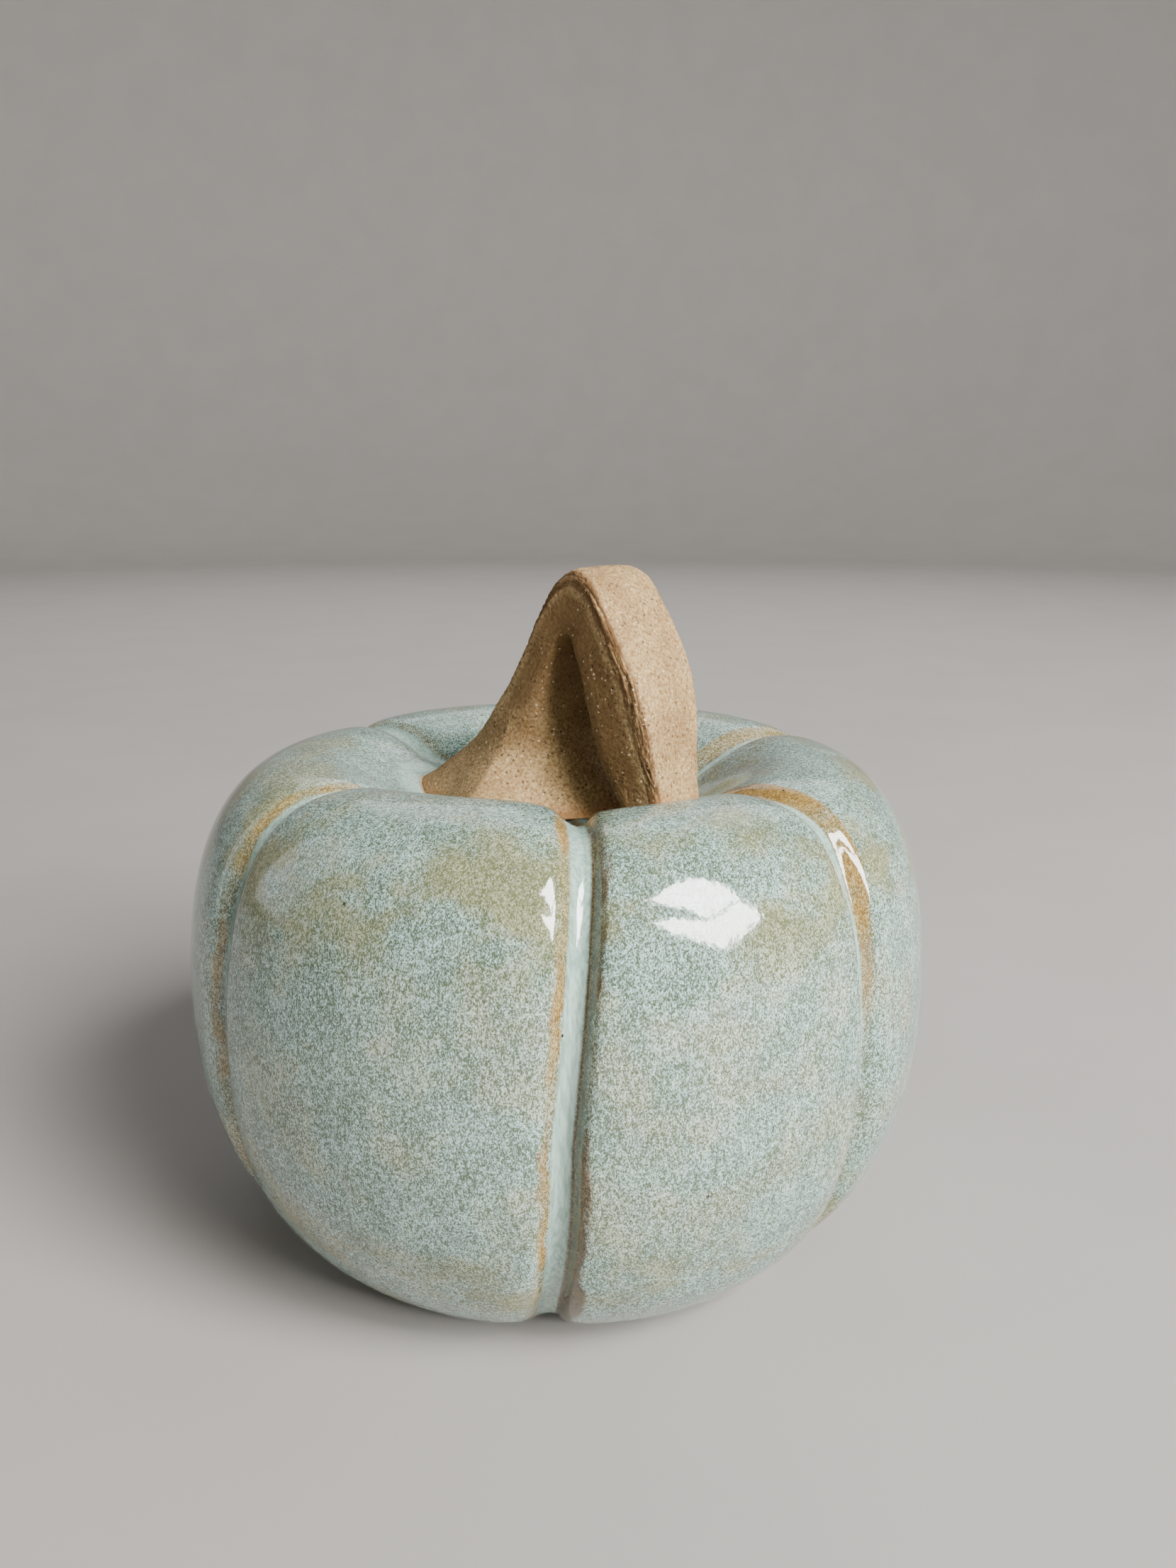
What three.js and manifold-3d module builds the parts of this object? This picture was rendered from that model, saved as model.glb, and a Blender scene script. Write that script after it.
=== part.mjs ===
// Glazed stoneware pumpkin with a looped stem of bare clay. Millimetres, +Z up.
// It stands with its foot on z = 0, round the Z axis, and the stem curls over towards -Y.
// An azimuth is an angle round +Z in degrees, 0 towards -Y and 90 towards +X.

import * as THREE from 'three';
import { mergeVertices } from 'three/addons/utils/BufferGeometryUtils.js';
import Module from 'manifold-3d';

const wasm = await Module();
wasm.setup();

// Driving dimensions of the body
const BELLY_RADIUS = 60;
const BELLY_HEIGHT = 39;
const CREST_RADIUS = 39;
const CREST_HEIGHT = 78.6;
const FOOT_RADIUS = 34;
const DIMPLE_RADIUS = 21;
const DIMPLE_HEIGHT = 70;
const DIMPLE_SOFTNESS = 0.6;
const LOWER_FULLNESS = 1.95;
const UPPER_FULLNESS = 2.5;
const LEVEL_STAGE = 0.35;

// The grooves between the lobes: azimuth at the belly, and how far each has turned
// by the time it reaches the foot and the crest. Lift is how much fuller than the others
// the lobe after the groove swells at the crest.
const GROOVES = [
  { azimuth: -173, foot: -2, crest: 1, lift: 0 },
  { azimuth: -100, foot: -4, crest: 0, lift: 1.15 },
  { azimuth: -44.5, foot: -3.5, crest: 3.6, lift: 0 },
  { azimuth: 2.4, foot: 0, crest: 1, lift: 0 },
  { azimuth: 67, foot: -2, crest: 1, lift: 0 },
  { azimuth: 135, foot: -3, crest: 2, lift: 0 },
];
const LIFT_LEAN = 0.5;
const LIFT_FLATNESS = 4;
const LIFT_START_HEIGHT = 52;
const GROOVE_DEPTH = 2.4;
const GROOVE_WIDTH = 4.6;
const GROOVE_STEEPNESS = 4;
const FOOT_GROOVE_SHARE = 0.15;
const FOOT_GROOVE_HEIGHT = 9;
const CREST_GROOVE_SHARE = 0.55;
const CREST_GROOVE_HEIGHT = 66;
const GROOVE_END_SHARE = 0.55;
const GROOVE_FADE_SHARE = 0.8;
const LOBE_CROWN = 0.75;
const CROWN_POWER = 3;

// Hollow inside, shallow foot recess and the hole that vents the hollow
const WALL = 6.5;
const FLOOR_HEIGHT = 8;
const RECESS_RADIUS = 25;
const RECESS_DEPTH = 1.5;
const RECESS_DRAFT = 0.8;
const VENT_RADIUS = 4;

// Stem stations, from its root at the back, up, over the arch and down to its tip.
// Each gives the outer and the inner edge as [forward, height], and half the width.
// Forward is measured from the Z axis towards -Y.
const STEM = [
  { outer: [-25.5, 66], inner: [14, 66], half: 23 },
  { outer: [-22.8, 71], inner: [12.5, 71], half: 20.2 },
  { outer: [-19.4, 74.5], inner: [10.2, 74.5], half: 16.6 },
  { outer: [-14.9, 77.8], inner: [7.6, 78], half: 12.8 },
  { outer: [-11.3, 81.3], inner: [5.6, 82], half: 10.4 },
  { outer: [-7.9, 85.5], inner: [4.6, 86.5], half: 9 },
  { outer: [-4.2, 90.5], inner: [4.9, 91.2], half: 7.9 },
  { outer: [-0.7, 96.3], inner: [6, 95.2], half: 7.3 },
  { outer: [2.6, 102.3], inner: [6.9, 96.7], half: 7 },
  { outer: [5.7, 106.5], inner: [7.5, 97.4], half: 7 },
  { outer: [9.8, 108.5], inner: [8.1, 97.6], half: 7.1 },
  { outer: [13.8, 107], inner: [8.8, 97.3], half: 7.4 },
  { outer: [17, 103], inner: [9.5, 96.3], half: 7.8 },
  { outer: [20, 98.2], inner: [10.3, 94.6], half: 8.1 },
  { outer: [22.7, 92.6], inner: [11.6, 90.8], half: 8.1 },
  { outer: [24.4, 86.5], inner: [12.9, 85], half: 7.8 },
  { outer: [25.2, 80.5], inner: [14.8, 79.2], half: 7.3 },
  { outer: [26, 74], inner: [17.8, 73.6], half: 6.6 },
  { outer: [26.5, 68], inner: [19.5, 67.6], half: 6.5 },
];
const TOE_COUNT = 5;
const TOE_AZIMUTH = -70;
const TOE_TWIST = -20;
const TOE_DEPTH = 0.12;
const TOE_SHARPNESS = 1.2;
const TOE_FADE_STATION = 7;
const ROOT_FULLNESS = 2;
const STRAP_FULLNESS = 6;
const CORNER_GATHER = 0.6;
const STRAP_START_STATION = 2;
const STRAP_FULL_STATION = 7;
const TIP_TURN = 12;
const TIP_TURN_START_STATION = 12;

// Clear gap between the stem and the glazed top that it stands on
const GAP = 0.3;

// Mesh fineness
const LOWER_RINGS = 10;
const UPPER_RINGS = 12;
const DIMPLE_RINGS = 6;
const CAVITY_STEP = 2;
const EDGE_DISTANCES = [0, 1.2, 2.1, 3, 4.2, 6];
const EDGE_ROOM = 9;
const CROWN_STEPS = 4;
const CAVITY_COLUMNS = 36;
const RECESS_COLUMNS = 40;
const STEM_RINGS_PER_STATION = 2;
const STEM_COLUMNS = 24;

const radians = THREE.MathUtils.degToRad;
const smooth = (value) => THREE.MathUtils.smoothstep(value, 0, 1);

// Superellipse of the given fullness: a point of the unit quarter at an angle
function quarter(angle, fullness) {
  const c = Math.cos(angle);
  const s = Math.sin(angle);
  const reach = (Math.abs(c) ** fullness + Math.abs(s) ** fullness) ** (-1 / fullness);
  return [reach * c, reach * s];
}

// Round envelope of the body as [radius, height].
// Stage 0 to 1 runs from foot to belly, 1 to 2 from belly to crest, 2 to 3 into the dimple.
function envelope(stage) {
  if (stage <= 1) {
    const [out, down] = quarter((1 - stage) * Math.PI / 2, LOWER_FULLNESS);
    return [FOOT_RADIUS + (BELLY_RADIUS - FOOT_RADIUS) * out, BELLY_HEIGHT * (1 - down)];
  }
  if (stage <= 2) {
    const [out, up] = quarter((stage - 1) * Math.PI / 2, UPPER_FULLNESS);
    return [
      CREST_RADIUS + (BELLY_RADIUS - CREST_RADIUS) * out,
      BELLY_HEIGHT + (CREST_HEIGHT - BELLY_HEIGHT) * up,
    ];
  }
  const inward = stage - 2;
  const sink = inward ** 2 * (1 + DIMPLE_SOFTNESS * (1 - inward));
  return [
    THREE.MathUtils.lerp(CREST_RADIUS, DIMPLE_RADIUS, inward),
    THREE.MathUtils.lerp(CREST_HEIGHT, DIMPLE_HEIGHT, sink),
  ];
}

// Outward normal of the envelope as [radius, height]
function envelopeNormal(stage) {
  const step = 0.001;
  const before = envelope(Math.max(stage - step, 0));
  const after = envelope(Math.min(stage + step, 3));
  const along = [after[0] - before[0], after[1] - before[1]];
  const length = Math.hypot(...along);
  return [along[1] / length, -along[0] / length];
}

// Azimuths of the groove centres at a height, in radians and in rising order
function grooveAzimuths(height) {
  const down = THREE.MathUtils.clamp(1 - height / BELLY_HEIGHT, 0, 1);
  const up = THREE.MathUtils.clamp((height - BELLY_HEIGHT) / (CREST_HEIGHT - BELLY_HEIGHT), 0, 1);
  return GROOVES.map(({ azimuth, foot, crest }) => radians(azimuth + foot * down ** 2 + crest * up));
}

// How far the surface lies inside the envelope: the crown of the lobe and the groove's channel,
// which is shallow at the foot and the crest. across is -1 to 1 over a lobe, and distance is
// the arc from the nearest groove's centre.
function recess(across, distance, radius, height) {
  const end = GROOVE_END_SHARE * DIMPLE_RADIUS;
  const fade = smooth((radius - end) / (GROOVE_FADE_SHARE * CREST_RADIUS - end));
  const crown = LOBE_CROWN * Math.abs(across) ** CROWN_POWER;
  const foot = THREE.MathUtils.lerp(FOOT_GROOVE_SHARE, 1, smooth(height / FOOT_GROOVE_HEIGHT));
  const top = smooth((height - CREST_GROOVE_HEIGHT) / (CREST_HEIGHT - CREST_GROOVE_HEIGHT));
  const depth = GROOVE_DEPTH * foot * THREE.MathUtils.lerp(1, CREST_GROOVE_SHARE, top);
  const channel = depth / (1 + (distance / (GROOVE_WIDTH / 2)) ** GROOVE_STEEPNESS);
  return (crown + channel) * fade;
}

// How far a lobe of this lift swells beyond the envelope
function swell(lift, across, radius, height) {
  const up = smooth((height - LIFT_START_HEIGHT) / (CREST_HEIGHT - LIFT_START_HEIGHT));
  const out = smooth((radius - DIMPLE_RADIUS) / (CREST_RADIUS - DIMPLE_RADIUS));
  return lift * (1 - across ** LIFT_FLATNESS) * (1 + LIFT_LEAN * across) * up * out;
}

// Columns of one ring: close together in the grooves, evenly spread over the lobes
function ringColumns(radius, height) {
  const grooves = grooveAzimuths(height);
  const columns = [];
  grooves.forEach((start, index) => {
    const next = index + 1 < grooves.length ? grooves[index + 1] : grooves[0] + 2 * Math.PI;
    const half = (next - start) / 2;
    const shrink = Math.min(1, half * radius / EDGE_ROOM);
    const edges = EDGE_DISTANCES.map((distance) => distance * shrink / radius);
    const last = edges[edges.length - 1];
    const side = [...edges];
    for (let step = 1; step < CROWN_STEPS; step += 1) {
      side.push(last + (half - last) * step / CROWN_STEPS);
    }
    side.forEach((offset) => columns.push({ azimuth: start + offset, across: offset / half - 1 }));
    columns.push({ azimuth: start + half, across: 0 });
    side.slice(1).reverse().forEach((offset) => {
      columns.push({ azimuth: next - offset, across: 1 - offset / half });
    });
    for (const column of columns.slice(-2 * side.length)) {
      column.distance = (1 - Math.abs(column.across)) * half * radius;
      column.lift = GROOVES[index].lift;
    }
  });
  return columns;
}

// Point at an azimuth in radians, a radius and a height
function polar(azimuth, radius, height) {
  return new THREE.Vector3(radius * Math.sin(azimuth), -radius * Math.cos(azimuth), height);
}

// Direction in which the surface is moved: the envelope's normal,
// turned level near the foot so that the foot's edge stays flat
function moveDirection(stage) {
  const normal = envelopeNormal(stage);
  if (stage >= LEVEL_STAGE) return normal;
  const rise = normal[1] * smooth(stage / LEVEL_STAGE);
  return [Math.sqrt(1 - rise ** 2), rise];
}

// One ring of the lobed surface, moved out by an outset
function bodyRing(stage, outset) {
  const [radius, height] = envelope(stage);
  const direction = moveDirection(stage);
  return ringColumns(radius, height).map(({ azimuth, across, distance, lift }) => {
    const move = outset - recess(across, distance, radius, height) + swell(lift, across, radius, height);
    return polar(azimuth, radius + move * direction[0], height + move * direction[1]);
  });
}

// Stages of the body's rings from foot to dimple
function bodyStages() {
  const stages = [];
  for (let ring = 0; ring < LOWER_RINGS; ring += 1) stages.push(ring / LOWER_RINGS);
  for (let ring = 0; ring < UPPER_RINGS; ring += 1) stages.push(1 + ring / UPPER_RINGS);
  for (let ring = 0; ring <= DIMPLE_RINGS; ring += 1) stages.push(2 + ring / DIMPLE_RINGS);
  return stages;
}

// Closed solid through rings of equally many points, counter-clockwise seen from its end,
// capped by fans round the mean point of the first and the last ring
function ringSolid(rings) {
  const count = rings[0].length;
  const points = rings.flat();
  const triangles = [];
  for (let ring = 0; ring + 1 < rings.length; ring += 1) {
    for (let column = 0; column < count; column += 1) {
      const a = ring * count + column;
      const b = ring * count + (column + 1) % count;
      triangles.push(a, b, b + count, a, b + count, a + count);
    }
  }
  for (const [ring, flip] of [[0, true], [rings.length - 1, false]]) {
    const centre = points.length;
    const mean = rings[ring].reduce((sum, point) => sum.add(point), new THREE.Vector3());
    points.push(mean.divideScalar(count));
    for (let column = 0; column < count; column += 1) {
      const a = ring * count + column;
      const b = ring * count + (column + 1) % count;
      triangles.push(...(flip ? [b, a, centre] : [a, b, centre]));
    }
  }
  const geometry = new THREE.BufferGeometry().setFromPoints(points);
  geometry.setIndex(triangles);
  return toManifold(geometry);
}

// A three.js geometry as a solid that can be joined and cut
function toManifold(geometry) {
  const bare = geometry.clone();
  bare.deleteAttribute('normal');
  bare.deleteAttribute('uv');
  const merged = mergeVertices(bare, 1e-5);
  return new wasm.Manifold(new wasm.Mesh({
    numProp: 3,
    vertProperties: new Float32Array(merged.attributes.position.array),
    triVerts: new Uint32Array(merged.index.array),
  }));
}

// A named mesh from a solid
function toMesh(solid, name, material) {
  const { vertProperties, triVerts } = solid.getMesh();
  const geometry = new THREE.BufferGeometry();
  geometry.setAttribute('position', new THREE.BufferAttribute(new Float32Array(vertProperties), 3));
  geometry.setIndex(new THREE.BufferAttribute(new Uint32Array(triVerts), 1));
  geometry.computeVertexNormals();
  const mesh = new THREE.Mesh(geometry, material);
  mesh.name = name;
  return mesh;
}

// Outside of the body, moved out by an outset
function bodyOutside(outset) {
  return ringSolid(bodyStages().map((stage) => bodyRing(stage, outset)));
}

// The hollow: the envelope moved in by the wall, with a flat floor
function cavity() {
  const stages = bodyStages().filter((stage, index) => index % CAVITY_STEP === 0);
  const rings = stages.map((stage) => {
    const [radius, height] = envelope(stage);
    const normal = envelopeNormal(stage);
    const inside = radius - WALL * normal[0];
    const level = Math.max(height - WALL * normal[1], FLOOR_HEIGHT + 0.01 * stage);
    return Array.from({ length: CAVITY_COLUMNS }, (unused, column) => {
      return polar(2 * Math.PI * column / CAVITY_COLUMNS, inside, level);
    });
  });
  return ringSolid(rings);
}

// Foot recess and vent, as one turned plug
function footCut() {
  const profile = [
    [0, -1],
    [RECESS_RADIUS + RECESS_DRAFT, -1],
    [RECESS_RADIUS, RECESS_DEPTH],
    [VENT_RADIUS, RECESS_DEPTH],
    [VENT_RADIUS, FLOOR_HEIGHT + 2],
    [0, FLOOR_HEIGHT + 2],
  ];
  const lathe = new THREE.LatheGeometry(profile.map(([r, z]) => new THREE.Vector2(r, z)), RECESS_COLUMNS);
  lathe.rotateX(Math.PI / 2);
  return toManifold(lathe);
}

// Soft ridges that spread into the toes of the stem's root, as a factor on its radius
function toes(station, azimuth) {
  const rise = station / TOE_FADE_STATION;
  const strength = TOE_DEPTH * (1 - smooth(rise));
  const ridge = radians(TOE_AZIMUTH + TOE_TWIST * Math.min(rise, 1));
  const valley = Math.abs(Math.sin(TOE_COUNT * (azimuth - ridge) / 2)) ** TOE_SHARPNESS;
  return 1 + strength * (1 - 2 * valley);
}

// The stem: rings lofted from the outer to the inner edge at each station
function stemSolid() {
  const outerEdge = new THREE.SplineCurve(STEM.map(({ outer }) => new THREE.Vector2(...outer)));
  const innerEdge = new THREE.SplineCurve(STEM.map(({ inner }) => new THREE.Vector2(...inner)));
  const halfWidth = new THREE.SplineCurve(STEM.map(({ half }) => new THREE.Vector2(half, 0)));
  const last = STEM.length - 1;
  const rings = [];
  for (let ring = 0; ring <= last * STEM_RINGS_PER_STATION; ring += 1) {
    const station = ring / STEM_RINGS_PER_STATION;
    const outer = outerEdge.getPoint(station / last);
    const inner = innerEdge.getPoint(station / last);
    const half = halfWidth.getPoint(station / last).x;
    const centre = outer.clone().add(inner).multiplyScalar(0.5);
    const reach = inner.clone().sub(centre);
    const square = smooth((station - STRAP_START_STATION) / (STRAP_FULL_STATION - STRAP_START_STATION));
    const fullness = THREE.MathUtils.lerp(ROOT_FULLNESS, STRAP_FULLNESS, square);
    const tip = (station - TIP_TURN_START_STATION) / (last - TIP_TURN_START_STATION);
    const turn = radians(TIP_TURN) * smooth(tip);
    const thickness = reach.length();
    rings.push(Array.from({ length: STEM_COLUMNS }, (unused, column) => {
      const even = 2 * Math.PI * column / STEM_COLUMNS;
      const angle = even + CORNER_GATHER * square * Math.sin(4 * even) / 4;
      const [along, aside] = quarter(angle, fullness);
      const factor = toes(station, angle);
      const u = along * factor * thickness;
      const v = aside * factor * half;
      const inward = (u * Math.cos(turn) + v * Math.sin(turn)) / thickness;
      const side = v * Math.cos(turn) - u * Math.sin(turn);
      return new THREE.Vector3(side, -(centre.x + reach.x * inward), centre.y + reach.y * inward);
    }));
  }
  return ringSolid(rings);
}

const glaze = new THREE.MeshStandardMaterial({ color: 0x9fb3a2, roughness: 0.22, metalness: 0 });
const clay = new THREE.MeshStandardMaterial({ color: 0xb8946a, roughness: 0.85, metalness: 0 });

const pumpkin = new THREE.Group();
pumpkin.add(toMesh(bodyOutside(0).subtract(cavity()).subtract(footCut()), 'glazed_body', glaze));
pumpkin.add(toMesh(stemSolid().subtract(bodyOutside(GAP)), 'stem', clay));

export default pumpkin;
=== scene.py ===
import math

import bpy
import numpy as np
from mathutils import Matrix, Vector


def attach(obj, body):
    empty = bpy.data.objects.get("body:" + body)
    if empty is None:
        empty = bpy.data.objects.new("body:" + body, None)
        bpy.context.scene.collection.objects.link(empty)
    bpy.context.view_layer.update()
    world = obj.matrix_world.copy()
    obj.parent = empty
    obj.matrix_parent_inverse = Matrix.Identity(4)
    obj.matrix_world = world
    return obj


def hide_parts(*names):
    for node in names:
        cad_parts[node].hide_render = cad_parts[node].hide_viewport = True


# A glazed stoneware pumpkin with a looped stem of bare clay.
# Shapes are worked out in millimetres in the frame's own axes and written in metres.
# An azimuth is an angle round +Z in degrees, 0 towards -Y and 90 towards +X.

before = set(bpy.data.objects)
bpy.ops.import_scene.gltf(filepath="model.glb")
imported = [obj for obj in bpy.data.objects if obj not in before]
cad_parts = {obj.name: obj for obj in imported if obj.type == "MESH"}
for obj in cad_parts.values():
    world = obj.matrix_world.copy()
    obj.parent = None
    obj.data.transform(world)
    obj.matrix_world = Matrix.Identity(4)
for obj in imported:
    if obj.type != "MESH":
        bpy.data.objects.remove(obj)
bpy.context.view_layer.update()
MM = 0.001

# Body, with the same driving dimensions as its solid
BELLY_RADIUS = 60
BELLY_HEIGHT = 39
CREST_RADIUS = 39
CREST_HEIGHT = 78.6
FOOT_RADIUS = 34
DIMPLE_RADIUS = 21
DIMPLE_HEIGHT = 70
DIMPLE_SOFTNESS = 0.6
LOWER_FULLNESS = 1.95
UPPER_FULLNESS = 2.5
LEVEL_STAGE = 0.35
GROOVES = [
    {"azimuth": -173, "foot": -2, "crest": 1, "lift": 0},
    {"azimuth": -100, "foot": -4, "crest": 0, "lift": 1.15},
    {"azimuth": -44.5, "foot": -3.5, "crest": 3.6, "lift": 0},
    {"azimuth": 2.4, "foot": 0, "crest": 1, "lift": 0},
    {"azimuth": 67, "foot": -2, "crest": 1, "lift": 0},
    {"azimuth": 135, "foot": -3, "crest": 2, "lift": 0},
]

# How strongly the glaze breaks along each groove: tan on its left, brown or gold on its right, the
# brown mixed with painted shade on the overhung wall; and how sharply its right side overhangs
BREAKS_AND_SHADE = {
    "tan": [0.3, 0.8, 1, 0, 0.35, 0.6],
    "brown": [0.5, 0.6, 1, 0, 0.2, 0.6],
    "gold": [0.1, 0, 0, 1, 0.6, 0],
}
OVERHANG = [0, 0.5, 1, 0, 0, 0.5]
LIFT_LEAN = 0.5
LIFT_START_HEIGHT = 52
LIFT_FLATNESS = 4
GROOVE_DEPTH = 2.4
GROOVE_WIDTH = 4.6
GROOVE_STEEPNESS = 4
OVERHUNG_STEEPNESS = 7
OVERHUNG_HALF_WIDTH = 1.9
FOOT_GROOVE_SHARE = 0.15
FOOT_GROOVE_HEIGHT = 9
CREST_GROOVE_SHARE = 0.55
CREST_GROOVE_HEIGHT = 66
GROOVE_END_SHARE = 0.55
GROOVE_FADE_SHARE = 0.8
LOBE_CROWN = 0.75
CROWN_POWER = 3
WALL = 6.5
FLOOR_HEIGHT = 8
RECESS_RADIUS = 25
RECESS_DEPTH = 1.5
RECESS_DRAFT = 0.8
VENT_RADIUS = 4

# Stem stations, from the root, up, over the arch and down to the tip:
# outer edge and inner edge as (forward, height), and half the width
STEM = [
    ((-25.5, 66), (14, 66), 23),
    ((-22.8, 71), (12.5, 71), 20.2),
    ((-19.4, 74.5), (10.2, 74.5), 16.6),
    ((-14.9, 77.8), (7.6, 78), 12.8),
    ((-11.3, 81.3), (5.6, 82), 10.4),
    ((-7.9, 85.5), (4.6, 86.5), 9),
    ((-4.2, 90.5), (4.9, 91.2), 7.9),
    ((-0.7, 96.3), (6, 95.2), 7.3),
    ((2.6, 102.3), (6.9, 96.7), 7),
    ((5.7, 106.5), (7.5, 97.4), 7),
    ((9.8, 108.5), (8.1, 97.6), 7.1),
    ((13.8, 107), (8.8, 97.3), 7.4),
    ((17, 103), (9.5, 96.3), 7.8),
    ((20, 98.2), (10.3, 94.6), 8.1),
    ((22.7, 92.6), (11.6, 90.8), 8.1),
    ((24.4, 86.5), (12.9, 85), 7.8),
    ((25.2, 80.5), (14.8, 79.2), 7.3),
    ((26, 74), (17.8, 73.6), 6.6),
    ((26.5, 68), (19.5, 67.6), 6.5),
]
TOE_COUNT = 5
TOE_AZIMUTH = -70
TOE_TWIST = -20
TOE_DEPTH = 0.12
TOE_SHARPNESS = 1.2
TOE_FADE_STATION = 7
ROOT_FULLNESS = 2
STRAP_FULLNESS = 6
CORNER_GATHER = 0.6
STRAP_START_STATION = 2
STRAP_FULL_STATION = 7
TIP_TURN = 12
TIP_TURN_START_STATION = 12

# Fineness of the meshes
LOBE_COLUMNS = 64
OUTER_RINGS = (72, 72, 40)
STEM_COLUMNS = 168
STEM_RINGS = 380
COLUMN_EVENNESS = 0.35
INNER_RINGS = 22

# Hand work, in millimetres: how far the skin keeps inside the solid, how the glaze fills the
# grooves near the stem and creeps up round it, and the depths and lengths of waves and grain
SKIN = 0.1
POOL_SHARE = 0.95
POOL_REACH = 7
MENISCUS_HEIGHT = 0.5
MENISCUS_REACH = 1.6
BODY_WAVE = 0.22
BODY_WAVE_LENGTHS = (26, 11)
QUIET_STAGES = 0.3
STEM_WAVE = 0.3
STEM_WAVE_LENGTHS = (16, 7)
GRAIN_RELIEF = 0.07
GRAIN_LENGTHS = (0.9, 0.55)
FIBRE_RELIEF = 0.16
FIBRE_LENGTHS = (1.2, 0.75)
TORN_START_STATION = 7

# Distance from a groove or the stem, in millimetres, given to points that are nowhere near one
FAR = 30


def smooth(value):
    value = np.clip(value, 0, 1)
    return value * value * (3 - 2 * value)


def random_field(points, wavelength, seed, waves=40):
    """A smooth random value, about -1 to 1, at each point: a sum of waves of one length"""
    rng = np.random.default_rng(seed)
    directions = rng.normal(size=(waves, 3))
    directions /= np.linalg.norm(directions, axis=1, keepdims=True)
    pace = 2 * np.pi / (wavelength * rng.uniform(0.75, 1.35, size=waves))
    phases = rng.uniform(0, 2 * np.pi, size=waves)
    total = np.zeros(points.shape[:-1])
    for direction, rate, phase in zip(directions, pace, phases):
        total += np.cos(points @ (direction * rate) + phase)
    return total * math.sqrt(2 / waves) / 2


def quarter(angle, fullness):
    """A point of the unit superellipse of this fullness, in the direction of an angle"""
    c, s = np.cos(angle), np.sin(angle)
    reach = (np.abs(c) ** fullness + np.abs(s) ** fullness) ** (-1 / fullness)
    return reach * c, reach * s


# Body

def envelope(stage):
    """Round outline of the body as radius and height, for stages from foot 0, belly 1, crest 2
    to dimple 3"""
    stage = np.asarray(stage, float)
    out, down = quarter((1 - np.clip(stage, 0, 1)) * np.pi / 2, LOWER_FULLNESS)
    low_r = FOOT_RADIUS + (BELLY_RADIUS - FOOT_RADIUS) * out
    low_z = BELLY_HEIGHT * (1 - down)
    out, up = quarter(np.clip(stage - 1, 0, 1) * np.pi / 2, UPPER_FULLNESS)
    high_r = CREST_RADIUS + (BELLY_RADIUS - CREST_RADIUS) * out
    high_z = BELLY_HEIGHT + (CREST_HEIGHT - BELLY_HEIGHT) * up
    inward = np.clip(stage - 2, 0, 1)
    sink = inward ** 2 * (1 + DIMPLE_SOFTNESS * (1 - inward))
    top_r = CREST_RADIUS + (DIMPLE_RADIUS - CREST_RADIUS) * inward
    top_z = CREST_HEIGHT + (DIMPLE_HEIGHT - CREST_HEIGHT) * sink
    radius = np.where(stage <= 1, low_r, np.where(stage <= 2, high_r, top_r))
    height = np.where(stage <= 1, low_z, np.where(stage <= 2, high_z, top_z))
    return radius, height


def envelope_normal(stage):
    step = 0.001
    r0, z0 = envelope(np.maximum(stage - step, 0))
    r1, z1 = envelope(np.minimum(stage + step, 3))
    length = np.hypot(r1 - r0, z1 - z0)
    return (z1 - z0) / length, -(r1 - r0) / length


def move_direction(stage):
    """The envelope's normal, turned level near the foot"""
    out, rise = envelope_normal(stage)
    low = stage < LEVEL_STAGE
    level_rise = rise * smooth(stage / LEVEL_STAGE)
    out = np.where(low, np.sqrt(1 - level_rise ** 2), out)
    return out, np.where(low, level_rise, rise)


def groove_azimuths(height):
    """Azimuth in radians of each groove's centre at each height"""
    down = np.clip(1 - height / BELLY_HEIGHT, 0, 1)
    up = np.clip((height - BELLY_HEIGHT) / (CREST_HEIGHT - BELLY_HEIGHT), 0, 1)
    return [np.radians(g["azimuth"] + g["foot"] * down ** 2 + g["crest"] * up) for g in GROOVES]


def recess(across, distance, radius, height, overhang=0):
    """How far the surface lies inside the envelope"""
    gone, full = GROOVE_END_SHARE * DIMPLE_RADIUS, GROOVE_FADE_SHARE * CREST_RADIUS
    fade = smooth((radius - gone) / (full - gone))
    crown = LOBE_CROWN * np.abs(across) ** CROWN_POWER
    foot = FOOT_GROOVE_SHARE + (1 - FOOT_GROOVE_SHARE) * smooth(height / FOOT_GROOVE_HEIGHT)
    top = smooth((height - CREST_GROOVE_HEIGHT) / (CREST_HEIGHT - CREST_GROOVE_HEIGHT))
    share = foot * (1 - (1 - CREST_GROOVE_SHARE) * top)
    sharp = np.where(distance > 0, overhang, 0)
    half = GROOVE_WIDTH / 2 + (OVERHUNG_HALF_WIDTH - GROOVE_WIDTH / 2) * sharp
    steepness = GROOVE_STEEPNESS + (OVERHUNG_STEEPNESS - GROOVE_STEEPNESS) * sharp
    reach = np.abs(distance) / half
    channel = GROOVE_DEPTH * share / (1 + reach ** steepness)
    return (crown + channel) * fade


def swell(lift, across, radius, height):
    """How far a lobe of this lift stands beyond the envelope"""
    up = smooth((height - LIFT_START_HEIGHT) / (CREST_HEIGHT - LIFT_START_HEIGHT))
    out = smooth((radius - DIMPLE_RADIUS) / (CREST_RADIUS - DIMPLE_RADIUS))
    return lift * (1 - across ** LIFT_FLATNESS) * (1 + LIFT_LEAN * across) * up * out


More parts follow.
